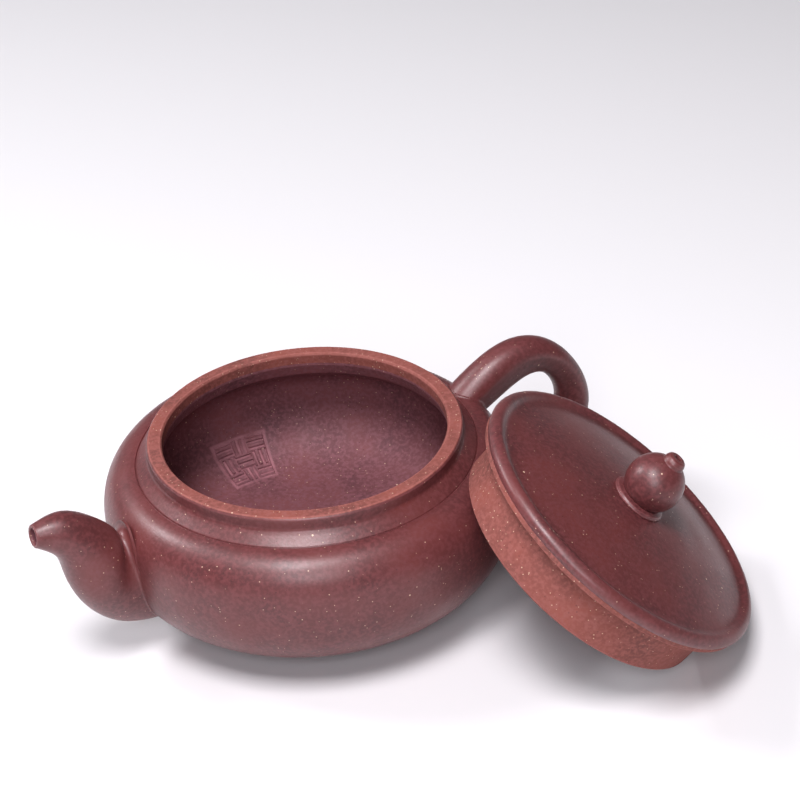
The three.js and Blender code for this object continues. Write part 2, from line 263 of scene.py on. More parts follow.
def pot_outline(size):
    """The pot's outline from the middle of its underside, up the outside, over the rim and down to the floor.

    Returns the rounded outline and the places along it, as row numbers, where its clay pieces meet.
    """
    wall = size.foot_radius - size.floor_radius
    f, inner_belly = size.foot_radius, size.belly_radius - wall
    foot = [[0, 0], [f - 1.2, 0], [f - 0.4, 1.2], [f, size.foot_height]]
    lower = low_curve(f, size.belly_radius, size.belly_height, size.foot_height)
    upper = high_curve(size.belly_radius, size.groove_radius + 0.35, size.belly_height, size.groove_height)
    g, gz, r, rz = size.groove_radius, size.groove_height, size.rim_radius, size.rim_height
    notch = [[g + 0.12, gz - 0.32], [g - 0.12, gz + 0.12], [g - 0.5, gz + 0.42]]
    cove = [[g - 1.2, gz + 1.0], [g - 2.1, gz + 1.75], [r + 0.25, gz + 2.4], [r, size.rim_low]]
    m, low = size.mouth_radius, size.rim_low
    rim = [[r, rz - 0.5], [r - 0.5, rz], [m + 0.45, rz], [m, rz - 0.45], [m, low]]
    throat = [[m, low - 0.6], [m + 1, low - 3.6]]
    inner_high = high_curve(inner_belly, g - wall, size.belly_height, gz - wall)[::-1]
    inner_low = low_curve(size.floor_radius, inner_belly, size.belly_height, size.floor_height)[::-1]
    parts = [np.array(foot), lower[1:], upper[1:], np.array(notch), np.array(cove), np.array(rim)]
    parts += [np.array(throat), inner_high, inner_low[1:], np.array([[0.0, size.floor_height]])]
    ends = np.cumsum([len(part) for part in parts]) - 1
    points = np.concatenate(parts).astype(float)
    along = travelled(points)
    marks = {"foot": ends[0], "belly": ends[1], "groove": ends[3], "rim": ends[4], "mouth": ends[5]}
    marks.update({"inner_groove": ends[6] + 1, "inner_belly": ends[7], "floor": ends[8]})
    fine = even(points, FINE)
    wide = smoothed(fine, EDGE_SOFTNESS, FINE)
    narrow = smoothed(fine, FINE, FINE)
    near = np.exp(-(((np.arange(len(fine)) * FINE - along[ends[3] - 2]) / GROOVE_REACH) ** 4))[:, None]
    outline = wide * (1 - near) + narrow * near
    places = {name: int(round(along[index] / along[-1] * (len(fine) - 1))) for name, index in marks.items()}
    return outline, places


# ---- surfaces ----
def lathe(rows, angles=None):
    """A turned surface: row i is a ring of radius rows[i, 0] at height rows[i, 1]."""
    if angles is None:
        angles = np.linspace(0, 2 * math.pi, COLUMNS, endpoint=False)
    radius, height = rows[:, :1], rows[:, 1:]
    flat = np.ones_like(angles)
    return np.stack([radius * np.cos(angles), radius * np.sin(angles), height * flat], axis=-1)


SWELL = 0.10  # height of the broad waves that hands leave, in millimetres
RIPPLE = 0.010  # height of the rubbing tool's fine waves
STILL_HEIGHT = 5  # below this the waves fade out toward the table


def hand_worked(points):
    """Points moved by the slight waviness of hand work.

    Sines and their products give broad swells, sideways and upwards, and a fine ripple.
    """
    x, y, z = points.T
    swell = SWELL * (np.sin(x / 17 + 0.6) * np.cos(y / 21 - 0.4) + 0.5 * np.sin((x - 2 * y + z) / 31))
    lift = 0.4 * SWELL * np.sin(x / 23 + y / 19 + 1.1)
    ripple = RIPPLE * np.sin(x / 1.9 + 2 * np.sin(z / 5)) * np.sin(y / 2.3 + z / 1.7)
    moved = np.stack([swell + ripple, 0.8 * swell - ripple, lift + ripple], axis=1)
    return points + np.clip(z / STILL_HEIGHT, 0, 1)[:, None] * moved


def grid_faces(rows, columns, closed):
    """Four-sided faces over a grid whose columns wrap round, and whose rows do if closed."""
    number = np.arange(rows * columns).reshape(rows, columns)
    above = np.roll(number, -1, axis=0) if closed else number[1:]
    here = number if closed else number[:-1]
    corners = [here, np.roll(here, -1, axis=1), np.roll(above, -1, axis=1), above]
    return np.stack(corners, axis=-1).reshape(-1, 4)


def make_piece(name, node, grid, closed, finishes, zone=None, wear_and_highlight=None):
    """A clay piece from a grid of points in millimetres, standing for a CAD node and riding on its body.

    zone gives the finish's number for each row, and the last argument how much lighter each row is painted:
    rubbed wear and a painted highlight on edges, and painted light on the seal.
    """
    rows, columns = grid.shape[:2]
    points = hand_worked(grid.reshape(-1, 3)) * MM
    faces = grid_faces(rows, columns, closed)
    mesh = bpy.data.meshes.new(name)
    mesh.vertices.add(len(points))
    mesh.vertices.foreach_set("co", points.astype(np.float32).ravel())
    mesh.loops.add(faces.size)
    mesh.loops.foreach_set("vertex_index", faces.astype(np.int32).ravel())
    mesh.polygons.add(len(faces))
    mesh.polygons.foreach_set("loop_start", np.arange(0, faces.size, 4, dtype=np.int32))
    # Rows painted lighter: rubbed wear on edges, a painted highlight along them, and painted light on the
    # seal.
    rubbed = np.zeros(rows) if wear_and_highlight is None else wear_and_highlight
    rubbed = np.broadcast_to(rubbed.reshape(rows, -1), (rows, columns))
    mesh.attributes.new("wear_and_highlight", "FLOAT", "POINT").data.foreach_set("value", rubbed.astype(np.float32).ravel())
    if zone is not None:
        by_face = np.repeat(zone[: len(faces) // columns], columns)
        mesh.polygons.foreach_set("material_index", by_face.astype(np.int32))
    for finish in finishes:
        mesh.materials.append(finish)
    mesh.update(calc_edges=True)
    weld(mesh)
    mesh.shade_smooth()
    mesh.set_sharp_from_angle(angle=math.radians(38))
    piece = bpy.data.objects.new(name, mesh)
    bpy.context.scene.collection.objects.link(piece)
    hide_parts(node)
    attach(piece, "lid" if node in LID_NODES else "pot")
    return piece


def weld(mesh):
    """Merges the points that a grid repeats at a pole."""
    work = bmesh.new()
    work.from_mesh(mesh)
    bmesh.ops.remove_doubles(work, verts=work.verts, dist=1e-7)
    work.to_mesh(mesh)
    work.free()


def lit_and_rubbed_edges(rows):
    """How much lighter each row of an outline is painted, as rubbed wear and a painted highlight: outward
    turns with a radius under about a millimetre.
    """
    return np.clip(convexity(rows) * 0.5, 0, 1)


# ---- clay ----
# Sizes of the clay's patterns, in cells per metre.
CLOUDS = 70.0
RUBBING = 130.0
WEAR_AND_HIGHLIGHT_PATCHES = 240.0
DIMPLES = 420.0
COARSE_SAND = 460.0
PEPPER = 900.0
SPECKLE = 1100.0
SMALL_SAND = 1150.0
SHEEN = 1700.0
TOOTH = 2100.0
BUMP_DEPTH = 0.00012

def clay_finish(name, colour_value, sand, roughness, sandy, grain, polish):
    """A fired clay finish: mottled colour, pale and dark sand grains, edges painted lighter as rubbed wear
    and a painted highlight, and a grained surface.
    """
    material = bpy.data.materials.get(name)
    if material:
        return material
    material = bpy.data.materials.new(name)
    material.use_nodes = True
    tree = material.node_tree
    shader = tree.nodes["Principled BSDF"]
    place = tree.nodes.new("ShaderNodeTexCoord").outputs["Object"]

    def node(kind, **values):
        made = tree.nodes.new(kind)
        for key, value in values.items():
            setattr(made, key, value)
        return made

    def link(source, target):
        tree.links.new(source, target)

    def noise(scale, detail=3.0):
        made = node("ShaderNodeTexNoise")
        made.inputs["Scale"].default_value = scale
        made.inputs["Detail"].default_value = detail
        link(place, made.inputs["Vector"])
        return made.outputs["Fac"]

    def span(source, low, high, start=0.0, end=1.0, smooth=False):
        made = node("ShaderNodeMapRange", interpolation_type="SMOOTHSTEP" if smooth else "LINEAR")
        made.inputs["From Min"].default_value = low
        made.inputs["From Max"].default_value = high
        made.inputs["To Min"].default_value = start
        made.inputs["To Max"].default_value = end
        link(source, made.inputs["Value"])
        return made.outputs["Result"]

    def maths(operation, first, second):
        made = node("ShaderNodeMath", operation=operation)
        for socket, value in zip(made.inputs, (first, second)):
            if isinstance(value, float):
                socket.default_value = value
            else:
                link(value, socket)
        return made.outputs["Value"]

    def blend(share, first, second):
        made = node("ShaderNodeMix", data_type="RGBA")
        link(share, made.inputs["Factor"])
        for socket, value in ((made.inputs[6], first), (made.inputs[7], second)):
            if isinstance(value, tuple):
                socket.default_value = (*value, 1.0)
            else:
                link(value, socket)
        return made.outputs[2]

    def grains(scale, radius, share):
        """Round grains: near a cell's point, in a share of the cells, each of its own size."""
        made = node("ShaderNodeTexVoronoi")
        made.inputs["Scale"].default_value = scale
        link(place, made.inputs["Vector"])
        parts = node("ShaderNodeSeparateColor")
        link(made.outputs["Color"], parts.inputs["Color"])
        reach = span(parts.outputs["Red"], 0.0, 1.0, 0.45 * radius, radius)
        inside = maths("SUBTRACT", 1.0, maths("DIVIDE", made.outputs["Distance"], reach))
        chosen = maths("LESS_THAN", parts.outputs["Green"], share)
        return maths("MULTIPLY", span(inside, 0.0, 0.55, smooth=True), chosen)

    base = tuple(colour_value)
    dark = tuple(0.78 * c for c in base)
    warm = (1.16 * base[0], 1.02 * base[1], 0.94 * base[2])
    mottled = blend(span(noise(CLOUDS), 0.35, 0.65), dark, warm)
    fine = blend(span(noise(SPECKLE, 5.0), 0.42, 0.62), mottled, tuple(1.22 * c for c in base))
    pepper = grains(PEPPER, 0.22, 0.30)
    peppered = blend(maths("MULTIPLY", pepper, 0.55), fine, tuple(0.35 * c for c in base))
    coarse = grains(COARSE_SAND, 0.15, 0.35 * sandy)
    small = grains(SMALL_SAND, 0.24, sandy)
    pale = maths("MAXIMUM", coarse, maths("MULTIPLY", small, 0.75))
    sanded = blend(pale, peppered, tuple(sand))
    # Edges painted lighter, partly rubbed wear and partly a painted highlight, and the seal painted pale as
    # painted light, all read from one attribute and broken into patches.
    edge = node("ShaderNodeAttribute", attribute_name="wear_and_highlight")
    worn_and_lit = maths("MULTIPLY", edge.outputs["Fac"], span(noise(WEAR_AND_HIGHLIGHT_PATCHES), 0.35, 0.6, 0.12, 0.42))
    lighter = tuple(min(1.7 * c + 0.02, 1.0) for c in base)
    link(blend(worn_and_lit, sanded, lighter), shader.inputs["Base Color"])

    rubbed = span(noise(RUBBING, 4.0), 0.3, 0.7, roughness - 0.05, roughness + 0.07)
    rough = maths("ADD", rubbed, maths("MULTIPLY", span(noise(SHEEN, 2.0), 0.3, 0.7), 0.08))
    link(rough, shader.inputs["Roughness"])
    shader.inputs["IOR"].default_value = 1.5
    shader.inputs["Coat Weight"].default_value = polish
    shader.inputs["Coat Roughness"].default_value = 0.33
    shader.inputs["Coat IOR"].default_value = 1.45

    tooth = maths("MULTIPLY", noise(TOOTH), grain)
    height = maths("ADD", tooth, maths("MULTIPLY", noise(DIMPLES, 2.0), 0.6))
    height = maths("ADD", height, maths("MULTIPLY", pale, 0.5 * grain))
    height = maths("SUBTRACT", height, maths("MULTIPLY", pepper, 0.35 * grain))
    bump = node("ShaderNodeBump")
    bump.inputs["Strength"].default_value = 0.5
    bump.inputs["Distance"].default_value = BUMP_DEPTH
    link(height, bump.inputs["Height"])
    link(bump.outputs["Normal"], shader.inputs["Normal"])
    return material


def burnished_clay():
    """The outside: rubbed with a horn tool until it shines softly."""
    colours = bpy.context.scene.teapot_colours
    return clay_finish("burnished_finish", colours.burnished, colours.sand, 0.40, 0.20, 0.55, 0.40)


def bare_clay():
    """The rim and the collar: cut and left, so the sand shows and nothing shines."""
    colours = bpy.context.scene.teapot_colours
    return clay_finish("bare_finish", colours.bare, colours.sand, 0.72, 0.45, 1.6, 0.0)


def inner_clay():
    """The inside: wiped with a wet cloth, matt and sandy."""
    colours = bpy.context.scene.teapot_colours
    return clay_finish("inner_finish", colours.inner, colours.sand, 0.62, 0.28, 1.2, 0.0)


# ---- pot ----
SEAL_SIDE = 14.4
SEAL_AZIMUTH = math.radians(87.5)
SEAL_RADIUS = 40.0
SEAL_HEIGHT = 11.9
SEAL_STEPS = 92
SEAL_PRESSED = 0.42
SEAL_PAINTED_LIGHT = 2.2  # painted light: how pale the seal's square and its raised lines are painted
SEAL_BARS = 5  # bars in each cell of its plain woven pattern
SEAL_CELLS = 3
SEAL_FIELD = 0.86  # half side of the woven field, where the seal's own is 1
SEAL_MARGIN = 0.6
PLAIN_COLUMNS = 200  # round the belly, away from the seal


def step_up(value, low, high):
    """A smooth step from 0 to 1: three times the share's square less twice its cube."""
    share = np.clip((value - low) / (high - low), 0, 1)
    return share * share * (3 - 2 * share)


def seal_relief(across, along):
    """Depth of the seal, in millimetres, and how pale it is painted, over its square of side 2. The paleness
    is painted light: the pressed square a little lighter, its raised lines lighter still as a painted
    highlight.

    A square is pressed in, and a frame and cells of bars, upright and level by turns, stand in it.
    """
    edge = np.maximum(np.abs(across), np.abs(along))
    pressed = 1 - step_up(edge, 0.95, 1.02)
    border = step_up(edge, 0.85, 0.89)
    cell_a = np.floor((across / SEAL_FIELD + 1) / 2 * SEAL_CELLS)
    cell_b = np.floor((along / SEAL_FIELD + 1) / 2 * SEAL_CELLS)
    upright = (cell_a + cell_b) % 2
    through = np.where(upright > 0, across, along)
    bars = np.cos((through / SEAL_FIELD + 1) * math.pi * SEAL_CELLS * SEAL_BARS / 2)
    raised = np.maximum(step_up(bars, -0.1, 0.5) * (1 - border), border)
    # The second value is painted light: a paler square, with painted highlights on the raised lines.
    return SEAL_PRESSED * pressed * (1 - 1.1 * raised), SEAL_PAINTED_LIGHT * pressed * (0.25 + 0.75 * raised)


def stamp_seal(grid, rows, angles):
    """Presses the seal into the inner wall, square to it, and says how pale each point is painted, as painted
    light.
    """
    normal = np.gradient(rows, axis=0)[:, ::-1] * [1, -1]
    normal /= np.linalg.norm(normal, axis=1)[:, None]
    along = travelled(rows)
    middle = along[np.argmin(np.hypot(rows[:, 0] - SEAL_RADIUS, rows[:, 1] - SEAL_HEIGHT))]
    half = SEAL_SIDE / 2
    b = (along - middle)[:, None] / half
    a = (angles - SEAL_AZIMUTH)[None, :] * SEAL_RADIUS / half
    depth, pale = seal_relief(a, b)
    return grid + depth[..., None] * lathe(normal, angles), pale


def pot_piece(name, node, outer, inner, zones, finishes):
    """A ring of the pot's wall from its outer and inner stretch of outline, joined by cut faces."""
    rows = np.concatenate([outer, inner])
    # Edges painted lighter: rubbed wear and a painted highlight.
    wear_and_highlight = np.concatenate([lit_and_rubbed_edges(outer), lit_and_rubbed_edges(inner)])
    wear_and_highlight[[0, len(outer) - 1, len(outer), -1]] = 0
    zone = np.repeat(zones, [len(outer), len(inner)])
    make_piece(name, node, lathe(rows), True, finishes, zone, wear_and_highlight)


class TEAPOT_OT_add_pot(bpy.types.Operator):
    """Add the pot's foot, floor, belly wall, shoulder, neck and rim"""

    bl_idname = "teapot.add_pot"
    bl_label = "Pot"

    def execute(self, context):
        size = context.scene.teapot_pot
        outline, at = pot_outline(size)

        def rows(first, last):
            return rows_of(outline[at[first] : at[last] + 1], LONGEST_ROW, SHARPEST_ROW)

        outside, inside, bare = burnished_clay(), inner_clay(), bare_clay()
        foot = rows_of(outline[: at["foot"] + 1], LONGEST_ROW, SHARPEST_ROW)
        foot = np.concatenate([foot, [[0, size.foot_height]]])
        # The foot's edges are painted lighter: rubbed wear and a painted highlight.
        make_piece("foot_clay", "foot", lathe(foot), False, [outside], wear_and_highlight=lit_and_rubbed_edges(foot))
        top = rows_of(outline[at["floor"] :], LONGEST_ROW, SHARPEST_ROW)
        under = [[0, size.foot_height], [size.floor_radius, size.foot_height]]
        floor = np.concatenate([under, top])
        make_piece("floor_clay", "floor_slab", lathe(floor), False, [inside])
        self.add_belly(rows("foot", "belly"), rows("inner_belly", "floor"), size, [outside, inside])
        shoulder = rows("belly", "groove"), rows("inner_groove", "inner_belly")
        pot_piece("shoulder_clay", "shoulder", *shoulder, [0, 1], [outside, inside])
        neck = rows("groove", "rim"), rows("mouth", "inner_groove")
        pot_piece("neck_clay", "neck_ring", *neck, [0, 1], [outside, inside])
        self.add_rim(rows("rim", "mouth"), size, [outside, bare])
        return {"FINISHED"}

    def add_belly(self, outer, inner, size, finishes):
        """The belly wall, with more rows and columns where the seal is and with the strainer holes cut."""
        along = travelled(inner)
        near = along[np.argmin(np.hypot(inner[:, 0] - SEAL_RADIUS, inner[:, 1] - SEAL_HEIGHT))]
        reach = SEAL_SIDE / 2 + SEAL_MARGIN
        at_seal = np.linspace(near - reach, near + reach, SEAL_STEPS)
        marks = np.concatenate([along[along < near - reach], at_seal, along[along > near + reach]])
        inner = np.stack([np.interp(marks, along, column) for column in inner.T], axis=1)
        width = reach / SEAL_RADIUS
        plain = np.linspace(SEAL_AZIMUTH + width, SEAL_AZIMUTH - width + 2 * math.pi, PLAIN_COLUMNS)
        seal = np.linspace(SEAL_AZIMUTH - width, SEAL_AZIMUTH + width, SEAL_STEPS)
        angles = np.concatenate([seal[:-1], plain[:-1]])
        bottom = np.array([[size.floor_radius, size.foot_height]])
        outer_grid = lathe(outer, angles)
        inner_grid, pale = stamp_seal(lathe(inner, angles), inner, angles)
        grid = np.concatenate([lathe(bottom, angles), outer_grid, inner_grid])
        zone = np.repeat([0, 0, 1], [1, len(outer), len(inner)])
        # The seal's painted light rides in the same attribute as the lightened edges.
        wear_and_highlight = np.concatenate([np.zeros((1 + len(outer), len(angles))), pale])
        wall = make_piece("belly_clay", "belly_wall", grid, True, finishes, zone, wear_and_highlight)
        pierce(wall, strainer_drills(size))

    def add_rim(self, skin, size, finishes):
        """The rim, bare on its top and inside and burnished down its outer side."""
        # The rim's edges are painted lighter: rubbed wear and a painted highlight.
        wear_and_highlight = lit_and_rubbed_edges(skin)
        side = np.array([[size.mouth_radius, size.rim_low], [size.rim_radius, size.rim_low]])
        rows = np.concatenate([skin[:-1], side])
        wear_and_highlight = np.concatenate([wear_and_highlight[:-1], [0, 0]])
        zone = np.where((skin[:-1, 0] > size.rim_radius - 0.3) & (skin[:-1, 1] < size.rim_height - 0.3), 0, 1)
        zone = np.concatenate([zone, [1, 0]])
        make_piece("rim_clay", "mouth_rim", lathe(rows), True, finishes, zone, wear_and_highlight)


STRAINER_HOLE_RADIUS = 1.25
STRAINER_PITCH = 4.4
STRAINER_HOLES = 6  # round one in the middle
STRAINER_HEIGHT = 22.0
STRAINER_DRILL = 16.0


def strainer_drills(size):
    """A bar for each strainer hole, as one mesh: round sections along X through the wall."""
    turns = np.arange(STRAINER_HOLES) * 2 * math.pi / STRAINER_HOLES
    y = np.concatenate([[0], STRAINER_PITCH * np.sin(turns)])
    z = STRAINER_HEIGHT + np.concatenate([[0], STRAINER_PITCH * np.cos(turns)])
    work = bmesh.new()
    for side, up in zip(y, z):
        turn = Matrix.Rotation(math.pi / 2, 4, "Y")
        place = Matrix.Translation(Vector((-size.belly_radius, side, up)) * MM) @ turn
        bmesh.ops.create_cone(
            work, cap_ends=True, segments=28, radius1=STRAINER_HOLE_RADIUS * MM,
            radius2=STRAINER_HOLE_RADIUS * MM, depth=STRAINER_DRILL * MM, matrix=place,
        )
    mesh = bpy.data.meshes.new("strainer_drills")
    work.to_mesh(mesh)
    work.free()
    return mesh


def pierce(piece, drills):
    """Cuts the drills' shape out of a piece."""
    cutter = bpy.data.objects.new("strainer_drills", drills)
    bpy.context.scene.collection.objects.link(cutter)
    cut = piece.modifiers.new("strainer", "BOOLEAN")
    cut.object = cutter
    cut.operation = "DIFFERENCE"
    cut.solver = "EXACT"
    bpy.context.view_layer.update()
    done = bpy.data.meshes.new_from_object(piece.evaluated_get(bpy.context.evaluated_depsgraph_get()))
    piece.modifiers.clear()
    piece.data = done
    done.name = piece.name
    bpy.data.objects.remove(cutter)


# ---- spout and handle ----
# Stations from the spout's root to its lip, in millimetres. Each gives the top and the bottom of a
# section, as x and z, and the section's half width.
SPOUT_STATIONS = [
    [-46.0, 33.5, -39.5, 7.6, 7.6],
    [-50.6, 33.8, -53.0, 10.4, 7.0],
    [-51.0, 35.4, -61.0, 18.0, 8.0],
    [-55.4, 40.4, -64.7, 27.8, 7.0],
    [-62.6, 44.9, -66.3, 34.6, 5.0],
    [-70.0, 44.5, -70.7, 38.9, 2.8],
]
SPOUT_BORE = 0.7  # bore radius as a share of the outer radius
# Stations from the handle's lower root to its upper one. Each gives the back and the inner face of a
# section, as x and z, and the section's half width.
HANDLE_STATIONS = [
    [41.0, 11.6, 43.0, 20.4, 5.0],
    [51.0, 9.0, 53.0, 17.8, 4.8],
    [63.2, 7.2, 62.9, 16.0, 4.7],
    [76.0, 11.8, 68.5, 18.0, 4.7],
    [82.0, 24.0, 73.0, 24.5, 4.7],
    [73.0, 41.6, 69.0, 34.2, 4.7],
    [59.5, 46.4, 61.5, 35.2, 4.7],
    [46.0, 41.2, 51.0, 30.5, 4.9],
    [36.0, 34.0, 42.5, 27.5, 5.2],
]
HANDLE_EDGE = 0.25  # where the crisp edge lies, from -1 at the inner face to 1 at the back
HANDLE_FACE_POWER = 0.8
HANDLE_SIDE_POWER = 0.62
HANDLE_NARROWING = 0.16
SPOUT_COLUMNS = 128
SPOUT_ROWS = 120
BORE_ROWS = 60
HANDLE_COLUMNS = 96
HANDLE_ROWS = 240
LINE_SAMPLES = 600
SUNK = 0.8  # how far the roots go into the wall
SPOUT_LENGTH = 30.0  # about, as is the next, to turn SUNK into a share of the bar
HANDLE_LENGTH = 90.0
WALL_SLANT = 0.45


def spline(stations, count):
    """Rows along a natural cubic spline through the stations.

    Between two stations each column is a cubic, and its slope and second slope run on without a step. The
    stations lie apart by the square root of their distance.
    """
    table = np.array(stations)
    middle = (table[:, :2] + table[:, 2:4]) / 2
    gap = np.sqrt(np.linalg.norm(np.diff(middle, axis=0), axis=1))
    knots = np.concatenate([[0], np.cumsum(gap)])
    slope = np.diff(table, axis=0) / gap[:, None]
    system = np.eye(len(table))
    right = np.zeros_like(table)
    inside = np.arange(1, len(table) - 1)
    system[inside, inside - 1] = gap[:-1]
    system[inside, inside] = 2 * (gap[:-1] + gap[1:])
    system[inside, inside + 1] = gap[1:]
    right[1:-1] = 6 * np.diff(slope, axis=0)
    second = np.linalg.solve(system, right)
    t = np.linspace(0, knots[-1], count)
    i = np.clip(np.searchsorted(knots, t, side="right") - 1, 0, len(gap) - 1)
    h = gap[i][:, None]
    near, far = (knots[i + 1] - t)[:, None], (t - knots[i])[:, None]
    cubic = (second[i] * near**3 + second[i + 1] * far**3) / (6 * h)
    straight = (table[i] / h - second[i] * h / 6) * near + (table[i + 1] / h - second[i + 1] * h / 6) * far
    return cubic + straight


def beyond_wall(points, size):
    """How far points lie outside the pot's outer wall, in millimetres, less than nothing inside it.

    It is the gap sideways to the wall's outline, made less where the wall lies flatter.
    """
    radius = np.hypot(points[..., 0], points[..., 1])
    z = points[..., 2]
    low = np.clip((size.belly_height - z) / (size.belly_height - size.foot_height), 0, 1)
    high = np.clip((z - size.belly_height) / (size.groove_height - size.belly_height), 0, 1)
    full, soft = BELLY_FULLNESS, SHOULDER_FULLNESS
    low_reach = size.foot_radius + (size.belly_radius - size.foot_radius) * (1 - low**full) ** (1 / full)
    high_reach = size.groove_radius + (size.belly_radius - size.groove_radius) * np.sqrt(1 - high**soft)
    reach = np.where(z < size.belly_height, low_reach, high_reach)
    level = np.where(z > size.groove_height, z - size.groove_height, 0)
    level = np.where(z < size.foot_height, size.foot_height - z, level)
    out = radius - reach
    steep = np.where(z < size.belly_height, low, high)
    return np.where(level > 0, np.hypot(np.maximum(out, 0), level), out * (1 - WALL_SLANT * steep**2))


class Bar:
    """A bar of clay drawn out between two lines in the XZ plane.

    A section runs from up = -1 on the second line to up = 1 on the first one, and from across = -1 to
    across = 1 over its width along Y. Each of the section's points traces a long line.
    """

    def __init__(self, stations):
        self.table = spline(stations, LINE_SAMPLES)
        self.t = np.linspace(0, 1, LINE_SAMPLES)

    def at(self, t, across, up, grown=0.0):
        """Points at t along the bar, moved out from its middle line by a number of millimetres."""
        here = [np.interp(t, self.t, column) for column in self.table.T]
        first_x, first_z, second_x, second_z, width = here
        half_x, half_z = (first_x - second_x) / 2, (first_z - second_z) / 2
        reach = np.hypot(width * across, np.hypot(half_x, half_z) * up)
        share = 1 + grown / np.maximum(reach, 1e-6)
        middle_x, middle_z = (first_x + second_x) / 2, (first_z + second_z) / 2
        y = share * width * across
        return np.stack([middle_x + share * half_x * up, y, middle_z + share * half_z * up], axis=-1)

    def leaves(self, across, up, size, from_end=False):
        """For each section point, the t where its long line comes out of the wall."""
        points = self.at(self.t[:, None], across[None, :], up[None, :])
        inside = beyond_wall(points, size) < 0
        half = self.t < 0.5
        if from_end:
            first = np.argmax(inside & ~half[:, None], axis=0)
            return self.t[first]
        last = len(self.t) - 1 - np.argmax((inside & half[:, None])[::-1], axis=0)
        return self.t[last]


def fillet_at(points, radius, size):
    """How far a skin swells near the wall: a quarter circle that starts a radius out from it."""
    gap = np.clip(beyond_wall(points, size) / radius, 0, 1)
    return radius * (1 - np.sqrt(1 - (1 - gap) ** 2))


def spout_grid(size):
    """The spout as one closed skin: up its outside, over the lip and down its bore, with a wall fillet."""
    bar = Bar(SPOUT_STATIONS)
    turn = np.linspace(0, 2 * math.pi, SPOUT_COLUMNS, endpoint=False)
    across, up = np.sin(turn), np.cos(turn)
    share = np.linspace(0, 1, SPOUT_ROWS)[:, None] ** 1.35
    start = bar.leaves(across, up, size)
    t = start + (1 - start) * share
    radius = 0.45 + 2.6 * np.clip(up, 0, 1) ** 2
    flare = fillet_at(bar.at(t, across, up), radius, size)
    outside = bar.at(t, across, up, flare)
    root = bar.at(start - SUNK / SPOUT_LENGTH, across, up, flare[0])
    end = bar.table[-1]
    thin = end[4] * (1 - SPOUT_BORE) / 2
    bend = np.linspace(0, math.pi, 13)[1:-1, None]
    rise = np.array([end[0] - end[2], end[1] - end[3]])
    rise /= np.linalg.norm(rise)
    ring = 1 - (1 - np.cos(bend)) * (1 - SPOUT_BORE) / 2
    lip = bar.at(np.ones_like(ring), ring * across, ring * up)
    lip[..., 0] -= thin * np.sin(bend) * rise[1]
    lip[..., 2] += thin * np.sin(bend) * rise[0]
    bore_start = bar.leaves(SPOUT_BORE * across, SPOUT_BORE * up, size) - SUNK / SPOUT_LENGTH
    back = np.linspace(1, 0, BORE_ROWS)[:, None]
    bore = bar.at(bore_start + (1 - bore_start) * back, SPOUT_BORE * across, SPOUT_BORE * up)
    zone = np.repeat([0, 0, 0, 1], [1, len(outside), len(lip), len(bore)])
    # The lip is painted lighter: rubbed wear and a painted highlight on its rounded edge.
    wear_and_highlight = np.repeat([0, 0, 0.5, 0], [1, len(outside), len(lip), len(bore)])
    return np.concatenate([root[None], outside, lip, bore]), zone, wear_and_highlight


class TEAPOT_OT_add_spout(bpy.types.Operator):
    """Add the short bent spout"""

    bl_idname = "teapot.add_spout"
    bl_label = "Spout"

    def execute(self, context):
        grid, zone, wear_and_highlight = spout_grid(context.scene.teapot_pot)
        make_piece("spout_clay", "spout", grid, True, [burnished_clay(), inner_clay()], zone, wear_and_highlight)
        return {"FINISHED"}


def handle_section(count):
    """The handle's section: a half-round back, a crisp edge down each side and a narrower inner face.

    Inside the edge both the drop and the narrowing follow the turn's sine to a power under 1.
    """
    turn = np.linspace(0, 2 * math.pi, count, endpoint=False)
    side, rise = -np.cos(turn), np.sin(turn)
    back = HANDLE_EDGE + (1 - HANDLE_EDGE) * rise
    face = HANDLE_EDGE - (1 + HANDLE_EDGE) * np.abs(rise) ** HANDLE_FACE_POWER
    narrow = side * (1 - HANDLE_NARROWING * np.abs(rise) ** HANDLE_SIDE_POWER)
    return np.where(rise >= 0, side, narrow), np.where(rise >= 0, back, face)


def handle_grid(size):
    """The handle's skin from its lower root to its upper one, both sunk in the wall, with fillets there."""
    bar = Bar(HANDLE_STATIONS)
    across, up = handle_section(HANDLE_COLUMNS)
    start = bar.leaves(across, up, size)
    end = bar.leaves(across, up, size, from_end=True)
    share = np.linspace(0, 1, HANDLE_ROWS)[:, None]
    share = share - np.sin(2 * math.pi * share) / (2 * math.pi) * 0.6
    t = start + (end - start) * share
    flare = fillet_at(bar.at(t, across, up), 0.7, size)
    grid = bar.at(t, across, up, flare)
    first = bar.at(start - SUNK / HANDLE_LENGTH, across, up, flare[0])
    last = bar.at(end + SUNK / HANDLE_LENGTH, across, up, flare[-1])
    ends = [np.broadcast_to(rows.mean(axis=0), rows.shape) for rows in (first, last)]
    grid = np.concatenate([ends[0][None], first[None], grid, last[None], ends[1][None]])
    # The crisp edge is painted lighter along its length: a painted highlight, with some rubbed wear.
    edge = np.exp(-(((up - HANDLE_EDGE) / 0.12) ** 2))
    return grid, np.broadcast_to(0.6 * edge, grid.shape[:2])


class TEAPOT_OT_add_handle(bpy.types.Operator):
    """Add the ear-shaped handle"""

    bl_idname = "teapot.add_handle"
    bl_label = "Handle"

    def execute(self, context):
        grid, wear_and_highlight = handle_grid(context.scene.teapot_pot)
        make_piece("handle_clay", "handle", grid, False, [burnished_clay()], wear_and_highlight=wear_and_highlight)
        return {"FINISHED"}


# ---- lid ----
def on_lid(rows):
    """A turned surface in the lid's own axes, placed where the lid leans."""
    return lathe(rows) @ LID_TURN + LID_POINT


LOOP_SOFTNESS = 0.12
LID_SOFTNESS = 0.35
CROWN_EDGE = 3.3  # height that the crown's curve would have at its edge


